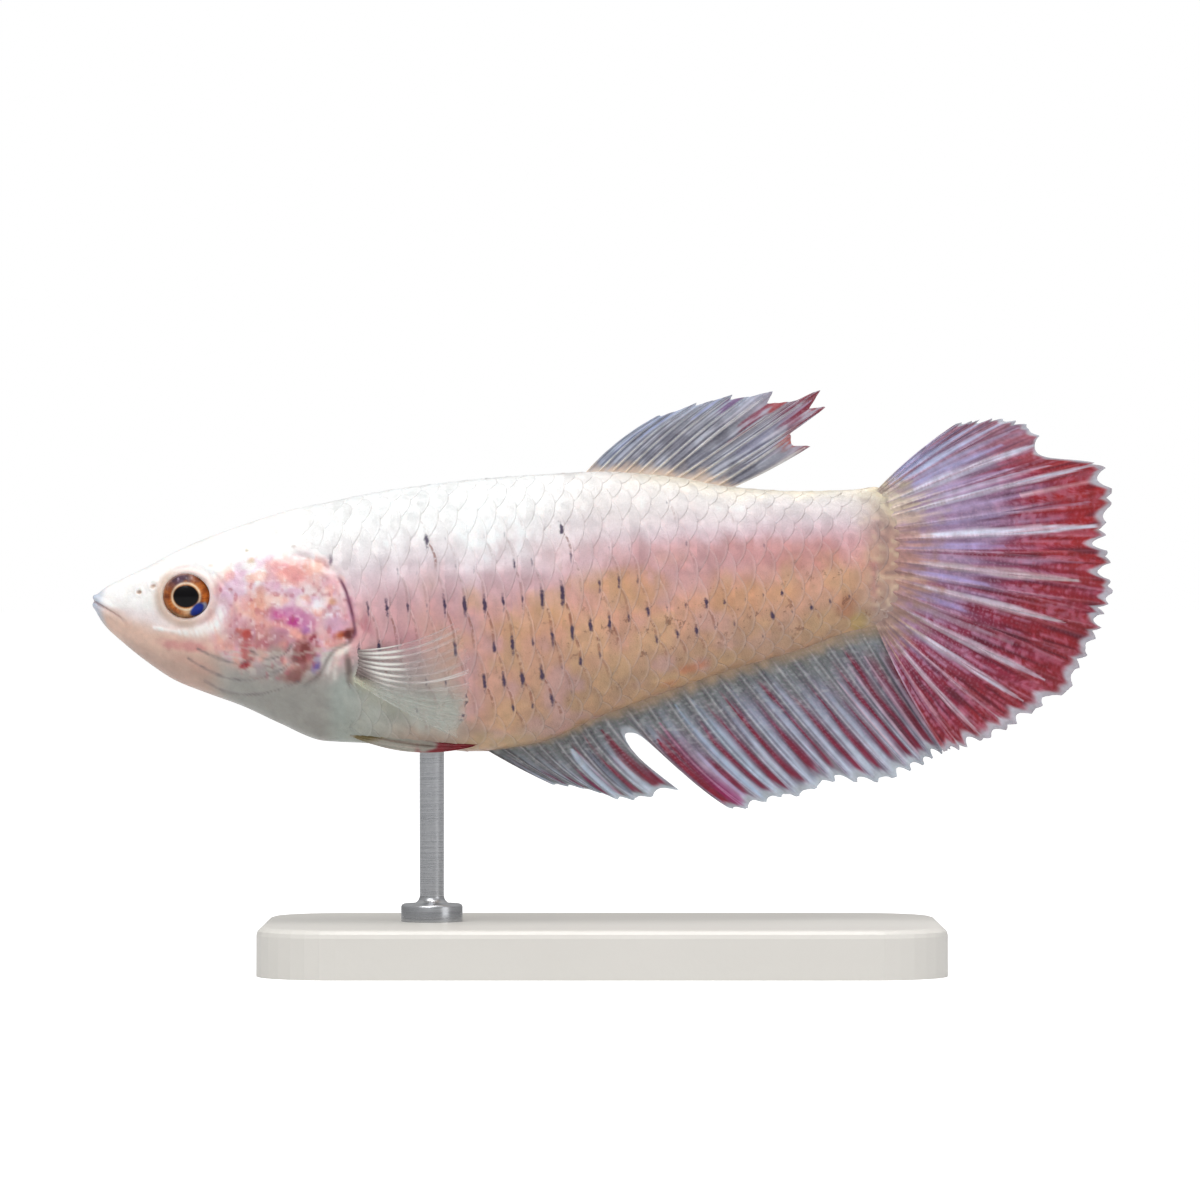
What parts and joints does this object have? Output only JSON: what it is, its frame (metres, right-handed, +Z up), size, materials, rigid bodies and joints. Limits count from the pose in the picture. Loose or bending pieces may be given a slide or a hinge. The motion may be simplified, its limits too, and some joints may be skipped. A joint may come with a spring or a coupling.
{
  "type": "plakat betta fish model",
  "caption": "Life-size short-finned betta with ribbed fins, gill covers and upturned mouth, held level by a rod on a small flat base.",
  "frame": {"origin": "middle of the object's box, on the underside of the stand's base", "axes": "-X towards the fish's snout, +X towards its tail, -Y out of its left flank, +Z up"},
  "size_m": [0.0629, 0.024, 0.0358],
  "materials": {
    "skin": "moist scaled skin, pink to silver with violet marks",
    "eye": "clear wet eye, brown iris with a blue gleam",
    "red_fin": "thin fin membrane, crimson between pale rays",
    "pale_fin": "thin fin membrane, pale grey-blue",
    "rod": "brushed",
    "base": "matt off-white paint"
  },
  "bodies": {
    "root": {"head": "skin", "lower_jaw": "skin", "gill_cover_left": "skin", "gill_cover_right": "skin", "trunk": "skin", "tail_stalk": "skin", "eye_left": "eye", "eye_right": "eye", "dorsal_fin": "pale_fin", "caudal_fin": "red_fin", "anal_fin": "red_fin", "pectoral_fin_left": "pale_fin", "pectoral_fin_right": "pale_fin", "pelvic_fin_left": "red_fin", "pelvic_fin_right": "red_fin", "stand_rod": "rod", "stand_base": "base"}
  },
  "joints": []
}
